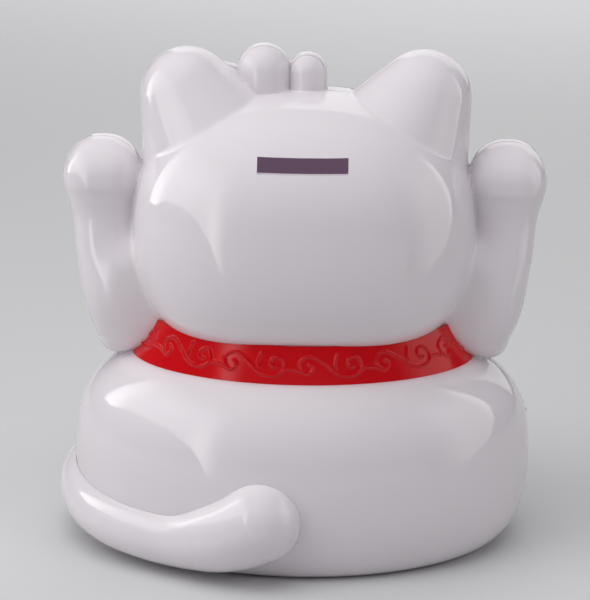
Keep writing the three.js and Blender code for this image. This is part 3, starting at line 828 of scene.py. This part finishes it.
def finish_shell(made, name, node):
    """Gives a shell its true surface normals, its inner material and a red tint that fades away from the
    collar's edges.
    """
    mesh = made.data
    p = values_of(mesh.vertices, "co", float).reshape(-1, 3)
    here, slope = slope_of(skin, p)
    deep, inner_slope = slope_of(cavity, p)
    on_skin, on_wall = np.abs(here) < 0.06, np.abs(deep) < 0.12
    slope, inner_slope = unit(slope), -unit(inner_slope)
    loops = values_of(mesh.loops, "vertex_index", np.int32)
    normals = values_of(mesh.polygons, "normal", float).reshape(-1, 3)
    total = values_of(mesh.polygons, "loop_total", np.int32)
    owner = np.repeat(np.arange(len(total)), total)
    first = np.concatenate([[0], np.cumsum(total)[:-1]])

    def smooth(on, direction):
        """Faces that lie wholly on a surface and face along it."""
        met = np.minimum.reduceat(on[loops].astype(np.int8), first)
        least = np.minimum.reduceat((direction[loops] * normals[owner]).sum(1), first)
        return (met > 0) & (least > 0.6)

    on_outer, on_inner = smooth(on_skin, slope), smooth(on_wall, inner_slope)
    corner = np.where(on_inner[owner][:, None], inner_slope[loops], normals[owner])
    corner = np.where(on_outer[owner][:, None], slope[loops], corner)
    mesh.polygons.foreach_set("use_smooth", np.ones(len(total), bool))
    mesh.normals_split_custom_set(corner.tolist())

    tree = KDTree(len(blush_points))
    for i, q in enumerate(blush_points):
        tree.insert(q, i)
    tree.balance()
    out, past = neck_place(p)
    blush = np.zeros(len(p), np.float32)
    for i in np.flatnonzero(on_skin & (p[:, 2] > 55) & (p[:, 2] < 112) & (np.abs(out) < 16)):
        gap = tree.find(p[i])[2]
        strength, spread = BLUSH_ABOVE if past[i] > NECK_LENGTH / 2 else BLUSH_BELOW
        blush[i] = strength * math.exp(-((gap / spread) ** 1.3))
    give(made, "blush", blush)
    place(made, name, "cat", "white_plastic", [node], sharp=None)
    mesh.materials.append(LOOKS["inner_plastic"])
    mesh.polygons.foreach_set("material_index", on_inner.astype(np.int32))


BLUSH_ABOVE, BLUSH_BELOW = (0.30, 1.9), (0.22, 1.1)  # the red tint's strength, and its spread in mm
blush_points = np.concatenate([
    np.array([v.co for v in o.data.vertices]) / MM for o in (band_rear, band_front)])
out_of_neck = neck_place(blush_points)[0]
blush_points = blush_points[(out_of_neck > -0.2) & (blush_points[:, 2] > 66)][::3]
finish_shell(rear, "shell_back", "rear_shell")
finish_shell(front, "shell_face", "front_shell")

# ---- Face, ears and paws: thin painted layers that follow the surface ----
def on_surface(x, z, y0):
    """Points of the front surface at x and z, and the way out of it there."""
    p = np.stack([x, np.full_like(x, y0), z], 1)
    for _ in range(40):
        p[:, 1] += np.clip(skin(p), -4, 4) * 0.8
    return p, unit(slope_of(skin, p)[1])


def patch(outline, height=PAINT, dome=0.0, rings=8):
    """A closed outline in x and z, laid on the front surface as a thin layer with soft edges."""
    outline = np.array(outline, float)
    centre = outline.mean(0)
    scales = np.concatenate([np.linspace(0, 0.94, rings), [0.98, 1.0, 0.97]])
    rise = np.concatenate([np.full(rings, height), [height * 0.6, -0.02, -0.5]])
    rise[:rings] += dome * (1 - np.linspace(0, 1, rings) ** 2)
    n = len(outline)
    flat = np.concatenate([centre[None, :]] + [centre + (outline - centre) * s for s in scales[1:]])
    p, out = on_surface(flat[:, 0], flat[:, 1], FACE_Y)
    level = np.concatenate([[rise[0]], np.repeat(rise[1:], n)])
    p = p + out * level[:, None]
    faces = [(0, 1 + i, 1 + (i + 1) % n) for i in range(n)] + ring_faces(1, len(scales) - 1, n)
    last = 1 + (len(scales) - 2) * n
    faces.append(tuple(last + i for i in reversed(range(n))))
    return solid("patch", p, faces)


def stroke(line, widths, y0=FACE_Y, count=60):
    """A painted line in x and z with its own width along it."""
    fine = spline([(x, z) for x, z in line], count)
    w = np.interp(np.linspace(0, 1, count), np.linspace(0, 1, len(widths)), widths)
    p, out = on_surface(fine[:, 0], fine[:, 1], y0)
    across = np.cross(out, unit(np.gradient(p, axis=0)))
    columns = 12
    points = []
    for k in range(count):
        for j in range(columns):
            a = 2 * math.pi * j / columns
            up = PAINT * math.sin(a) if math.sin(a) > 0 else 0.5 * math.sin(a)
            points.append(p[k] + across[k] * w[k] * math.cos(a) + out[k] * up)
    faces = [tuple(range(columns)), tuple((count - 1) * columns + j for j in reversed(range(columns)))]
    return solid("stroke", points, faces + ring_faces(0, count, columns))


def merged(objects):
    """Several meshes as one object."""
    points, faces = [], []
    for o in objects:
        start = len(points)
        points += [tuple(v.co) for v in o.data.vertices]
        faces += [tuple(start + i for i in f.vertices) for f in o.data.polygons]
    drop(*objects)
    return solid("merged", points, faces)


def oval_outline(x, z, a, b, power=2.0, lean=0.0, count=56):
    """An oval round x and z, squarer with a higher power."""
    t = np.linspace(0, 2 * math.pi, count, endpoint=False)
    u = a * np.sign(np.cos(t)) * np.abs(np.cos(t)) ** (2 / power)
    v = b * np.sign(np.sin(t)) * np.abs(np.sin(t)) ** (2 / power)
    c, s = math.cos(lean), math.sin(lean)
    return np.stack([x + u * c - v * s, z + u * s + v * c], 1)


def outward(made):
    """Turns a closed mesh's faces outwards."""
    b = bmesh.new()
    b.from_mesh(made.data)
    bmesh.ops.recalc_face_normals(b, faces=b.faces)
    b.to_mesh(made.data)
    b.free()
    return made


EYE = (23.5, 127)
BROW = [(15.5, 130.5), (19.5, 135.2), (25, 136.4), (30.5, 133.6), (33.6, 129.6)]
MOUTH = [(0, 109.5), (0.4, 106.4), (3.4, 103.8), (7.6, 104.2), (10.6, 107)]
WHISKERS = [(117, 3.4), (112, 0.6), (107, -2.4)]  # height at the root, and rise
TOES_X, FINGERS_X = 37, 78.6
dark, rosy = [], []
for side in (-1, 1):
    dark.append(patch(oval_outline(side * EYE[0], EYE[1], 5.6, 6.8)))
    dark.append(stroke([(side * x, z) for x, z in BROW], [0.3, 0.75, 0.9, 0.8, 0.25]))
    dark.append(stroke([(side * x, z) for x, z in MOUTH], [0.5, 0.55, 0.6, 0.5, 0.25]))
    for z, rise in WHISKERS:
        whisker = [(side * 33, z), (side * 41, z + rise * 0.6), (side * 49, z + rise)]
        dark.append(stroke(whisker, [0.3, 0.5, 0.2]))
    rosy.append(patch(oval_outline(side * 44.5, 172, 9.5, 13, 2.3, side * 0.38)))
    for x in (-7.5, 0, 7.5):
        middle = side * TOES_X
        rosy.append(stroke([(middle + x * 0.92, 16.5), (middle + x, 11), (middle + x, 6)], [0.2, 0.6, 0.4],
                           FEET_Y))
    for x in (-5.2, 0, 5.2):
        middle = side * FINGERS_X
        claw = [(middle + x, 152.5 - abs(x) * 0.3), (middle + x * 0.95, 147.5), (middle + x * 0.9, 143)]
        rosy.append(stroke(claw, [0.2, 0.55, 0.3], PAWS_Y))
rosy.append(patch(oval_outline(0, 112.8, 4.4, 3.0, 2.4), 0.2, 0.9))
place(outward(merged(dark)), "face_lines", "cat", "black_paint", sharp=40)
place(outward(merged(rosy)), "rosy_details", "cat", "pink_paint", sharp=40)
# The glints are painted highlights: small white dots on the eyes.
glints = [patch(oval_outline(side * EYE[0] - 1.6, EYE[1] + 2.6, 1.6, 1.9), 0.3) for side in (-1, 1)]
place(outward(merged(glints)), "eye_glints", "cat", "white_plastic", sharp=40)


# ---- Bell, hanger and pellet ----
BELL_FRAME = Matrix.Translation(BELL["pivot"]) @ Matrix.Rotation(-math.radians(BELL["lean"]), 4, "X")
radius, drop_by = BELL["radius"], BELL["drop"]


def bell_half(side):
    """Half a hollow ball with half of the rolled rim."""
    start, quarter = GAP / 2, math.pi / 2
    r, w, rim = radius, BELL["wall"], BELL["rim"]
    first, past_rim = math.asin(start / r), math.asin(rim / r) + 0.02
    outer = [(r * math.cos(a), r * math.sin(a)) for a in np.linspace(past_rim, quarter, 24)]
    quarter_turn = np.linspace(0, quarter, 6)
    lip = [(r + rim * math.cos(a) * 0.9, start + (rim - start) * math.sin(a)) for a in quarter_turn]
    inside = [((r - w) * math.cos(a), (r - w) * math.sin(a)) for a in np.linspace(quarter, first, 24)]
    profile = inside + [((r - w) * math.cos(first), start)] + lip + outer
    return outward(turned([(0 if q < 1e-5 else q, h * side - drop_by) for q, h in profile], 72))


upper = bell_half(1)
join(upper, rod(1.3, -drop_by + radius - 0.6, -2.2, "Z", (0, 0), 28))
bpy.ops.mesh.primitive_torus_add(major_segments=40, minor_segments=16, major_radius=2.1, minor_radius=0.7)
eye = bpy.context.object
eye.data.transform(Matrix.Rotation(math.pi / 2, 4, "Y"))
join(upper, eye)
place(upper, "bell_top", "bell", "gold_plating", ["bell_upper"], 38, BELL_FRAME)
lower = bell_half(-1)
bottom = -drop_by - radius
cut(lower, block((-5.5, -0.7, bottom - 5), (5.5, 0.7, bottom + 4.5)),
    *[rod(1.5, bottom - 4, bottom + 6, "Z", (s * 5.2, 0), 28) for s in (-1, 1)])
place(lower, "bell_bottom", "bell", "gold_plating", ["bell_lower"], 38, BELL_FRAME)

reach = HANGER["half_span"] + HANGER["lug"]
pin = rod(HANGER["radius"], -reach, reach, "X", (pivot_y, pivot_z), 28, 0.25)
place(pin, "hanger_pin", "cat", "zinc_steel", ["bell_hanger_pin"])
lean = math.radians(BELL["lean"])
rest = radius - BELL["wall"] - BELL["pellet"] - GAP
spot = Vector((0, pivot_y - drop_by * math.sin(lean), pivot_z - drop_by * math.cos(lean) - rest))
small = BELL["pellet"]
half_turn = np.linspace(-math.pi / 2, math.pi / 2, 25)
ball = turned([(0 if abs(a) > 1.57 else small * math.cos(a), small * math.sin(a)) for a in half_turn], 40)
place(ball, "pellet_ball", "pellet", "zinc_steel", ["bell_pellet"], move=Matrix.Translation(spot))


# ---- Base plate, screws and plug ----
def screw():
    """A domed self-tapping screw with a cross recess, standing on its head."""
    r, h, s, length = SCREW["head"], SCREW["head_height"], SCREW["shank"], SCREW["length"]
    dome = [(r * math.sin(a), h * 0.75 * (1 - math.cos(a))) for a in np.linspace(0, math.pi / 2, 10)]
    profile = [(0, 0)] + dome[1:] + [(r, h), (s, h)]
    threads = 9
    for i in range(threads):
        z = h + 0.3 + i * (length - 2 - h) / threads
        profile += [(s * 0.82, z), (s, z + 0.3)]
    profile += [(s * 0.8, length - 1.8), (0.15, length - 0.05), (0, length)]
    made = turned(profile, 32)
    for wide, deep in ((1.7, 0.32), (0.32, 1.7)):
        cut(made, block((-wide, -deep, -1), (wide, deep, 0.9)))
    return made


for i, (x, y) in enumerate(corners):
    place(screw(), f"plate_screw_{i + 1}", "cat", "zinc_steel", [f"base_screw_{i + 1}"],
          move=Matrix.Translation((x, y, 0.05)))
for i, (x, y, z) in enumerate(TAIL_SCREWS):
    lying = Matrix.Rotation(-math.pi / 2, 4, "X")
    there = Matrix.Translation((x, y - SCREW["head_height"] - 0.05, z)) @ lying
    place(screw(), f"tail_fixing_{i + 1}", "cat", "zinc_steel", [f"tail_screw_{i + 1}"], move=there)

hole, seat = PLUG["neck"] + GAP, PLUG["flange_height"] + 2 * GAP
plate = oval(PLATE["wide"] - GAP, PLATE["deep"] - GAP, 0.0, PLATE["thick"])
soften(plate, 0.4)
join(plate, rod(hole + 2, 0.5, PLUG["top"] - 1.4, "Z", (0, 0), 96, 0.4))
cut(plate, rod(hole, -5, 13, "Z", (0, 0), 96), rod(PLUG["flange"] + GAP, -5, seat, "Z", (0, 0), 96),
    *[rod(SCREW["hole"], -5, 5, "Z", at, 28) for at in corners],
    *[rod(SCREW["head"] + GAP, -5, SCREW["head_height"] + GAP / 2, "Z", at, 40) for at in corners])
place(plate, "bottom_plate", "cat", "white_plastic", ["base_plate"])

f, fh, n, top = PLUG["flange"], PLUG["flange_height"], PLUG["neck"], PLUG["top"]
pk, pt = PLUG["pocket"], PLUG["pocket_top"]
# From the pocket's middle, round the flange and the neck with its groove, to the middle above the pocket.
profile = [(0, pt), (pk - 0.5, pt), (pk, pt - 0.5), (pk + 0.4, GAP + 0.5), (pk + 0.9, GAP), (f - 0.4, GAP),
           (f - 0.1, GAP + 0.15), (f, GAP + 0.4), (f, GAP + fh - 0.3), (f - 0.3, GAP + fh),
           (n, GAP + fh + 0.1), (n, 4.6), (n - 0.25, 4.8), (n - 0.25, 5.5), (n, 5.7), (n, top - 0.7),
           (n - 0.2, top - 0.2), (n - 0.7, top), (n - 2, top), (n - 2, fh + 1), (pk + 2.4, fh + 1),
           (pk + 1.8, pt + 1.8), (0, pt + 1.8)]
plug = outward(turned(profile, 96))
grip = soften(block((-pk - 0.5, -1.2, 2 * GAP), (pk + 0.5, 1.2, 2 * GAP + pt)), 0.45, segments=3)
join(plug, grip)
place(plug, "plug_moulding", "plug", "plug_plastic", ["coin_plug"])

# ---- Floor, light and camera ----
# Metres from here on.
FAR = 2.4  # radius of the floor
SIDES = 96
GLOW_FROM, GLOW_OVER, GLOW = 0.7, 1.5, 0.30  # the floor's own light: its start, its growth, its most
CARD_AWAY, CARD_MIDDLE = 0.36, 0.11  # the cards' distance from a point on the cat's axis, and its height


def stage_floor():
    """A pale floor, and round it a plain backdrop that only the camera sees."""
    profile = [(r, -0.0002) for r in np.linspace(0, FAR, 49)]
    made = turned(profile, SIDES)
    made.name = "floor"
    away = np.array([v.co.to_2d().length for v in made.data.vertices])
    rise = np.clip((away - GLOW_FROM) / GLOW_OVER, 0, 1)
    give(made, "glow", GLOW * rise * rise * (3 - 2 * rise))
    paper = material("paper", (0.62, 0.62, 0.625), 0.75, tint=0.02, rough_by=0.05, grain=60, wave=3)
    set_inputs(shader_of(paper), Emission_Color=(1, 1, 1.02, 1))
    read_values(paper, "glow", shader_of(paper).inputs["Emission Strength"])
    made.data.materials.append(paper)
    turns = np.linspace(0, 2 * math.pi, SIDES, endpoint=False)
    points = [(FAR * math.cos(a), FAR * math.sin(a), z) for z in (-0.001, 2.0) for a in turns]
    wall = solid("backdrop", points, [(a, d, c, b) for a, b, c, d in ring_faces(0, 2, SIDES)])
    look, shine = shining("backdrop")
    set_inputs(shine, Color=(0.42, 0.42, 0.43, 1))
    wall.data.materials.append(look)
    wall.visible_diffuse = wall.visible_glossy = wall.visible_shadow = wall.visible_transmission = False


def panel(name, at, look, size, power, shows=False):
    """A soft box, seen in the gloss only if it shows."""
    light = bpy.data.lights.new(name, "AREA")
    light.shape = "RECTANGLE"
    light.size, light.size_y = size
    light.energy = power
    made = link(name, light)
    made.location = at
    made.rotation_euler = (Vector(look) - Vector(at)).to_track_quat("-Z", "Y").to_euler()
    made.visible_camera = False
    made.visible_glossy = shows


def card(name, edge, top, glow):
    """A bright card that shows only in the gloss. Its lower edge is a line of turns and rises in degrees."""
    turns = np.linspace(edge[0][0], edge[-1][0], 48)
    low = np.interp(turns, [e[0] for e in edge], [e[1] for e in edge])
    share = np.linspace(0, 1, 24)
    turn, t = np.meshgrid(turns, share, indexing="ij")
    rise = low[:, None] + (np.maximum(top, low + 1) - low)[:, None] * t
    a, e = np.radians(turn), np.radians(rise)
    points = np.stack([np.cos(e) * np.cos(a), np.cos(e) * np.sin(a), np.sin(e)], -1) * CARD_AWAY
    points += (0, 0, CARD_MIDDLE)
    points[..., 2] = np.maximum(points[..., 2], 0.001)
    n = len(share)
    faces = [(i * n + j, (i + 1) * n + j, (i + 1) * n + j + 1, i * n + j + 1)
             for i in range(len(turns) - 1) for j in range(n - 1)]
    made = solid(name, points.reshape(-1, 3), faces)
    give(made, "glow", glow(turn, t).ravel())
    look, shine = shining(name)
    read_values(look, "glow", shine.inputs["Strength"])
    made.data.materials.append(look)
    made.visible_camera = made.visible_diffuse = made.visible_shadow = made.visible_transmission = False


def left_glow(turn, t):
    """Brightest at the lower front corner and along the back edge, dying away to the camera and the top."""
    near_corner = 2.6 * np.exp(-(((turn + 12) / 9) ** 2) - (t / 0.5) ** 2)
    back_edge = 2.6 * np.exp(-(((turn - 51) / 6) ** 2) - (t / 0.5) ** 2)
    fade = np.clip((60 - turn) / 22, 0, 1) * np.clip((1.0 - t) / 0.5, 0, 1)
    return (1.4 * fade + near_corner + back_edge) * np.clip((1 - t) / 0.2, 0, 1)


def right_glow(turn, t):
    """Dim, with a brighter rim on the side away from the camera."""
    rim = 1.1 * np.exp(-(((turn - 189) / 4) ** 2))
    return (1.25 * np.clip((turn - 140) / 20, 0, 1) + rim) * np.clip((1 - t) / 0.4, 0, 1)


stage_floor()
panel("left_softbox", (0.82, 0.30, 0.60), (0, 0, 0.11), (1.2, 0.7), 5.2)
panel("right_softbox", (-0.80, 0.36, 0.50), (0, 0, 0.12), (0.8, 0.6), 1.8)
panel("top_softbox", (0.15, 0.25, 1.2), (0, 0, 0.1), (1.2, 1.0), 8)
panel("front_fill", (-0.3, -1.2, 0.7), (0, 0, 0.1), (1.5, 1.2), 5, True)
panel("floor_light", (0, -1.35, 0.9), (0, -1.35, 0), (2.2, 0.9), 4)
card("left_card", [(-20, 4), (-9, 5), (3, 11), (19.5, 12), (34, 9), (48, -3), (55, -17), (60, -17)],
     52, left_glow)
card("right_card", [(140, -17), (160, -16), (178, -8), (187, 2), (192, 14)], 48, right_glow)
world = bpy.data.worlds.new("world")
world.use_nodes = True
set_inputs(world.node_tree.nodes["Background"], Color=(0.80, 0.78, 0.86, 1), Strength=0.15)
bpy.context.scene.world = world

# The camera looks down at the cat's back by 16 degrees, from 1.1 m away, a little to the cat's left.
TILT, TURN, ROLL, AWAY = math.radians(16), math.radians(1.3), math.radians(0.55), 1.1
TARGET = Vector((0.0034, 0.0001, 0.0936))
ahead = Vector((math.cos(TILT) * math.sin(TURN), -math.cos(TILT) * math.cos(TURN), -math.sin(TILT)))
lens = bpy.data.cameras.new("camera")
lens.sensor_width = 36
lens.lens = 167.8
camera = link("camera", lens)
facing = ahead.to_track_quat("-Z", "Y").to_matrix().to_4x4()
camera.matrix_world = Matrix.Translation(TARGET - AWAY * ahead) @ facing @ Matrix.Rotation(ROLL, 4, "Z")
bpy.context.scene.camera = camera
bpy.context.scene.view_settings.view_transform = "Standard"

bpy.context.view_layer.update()
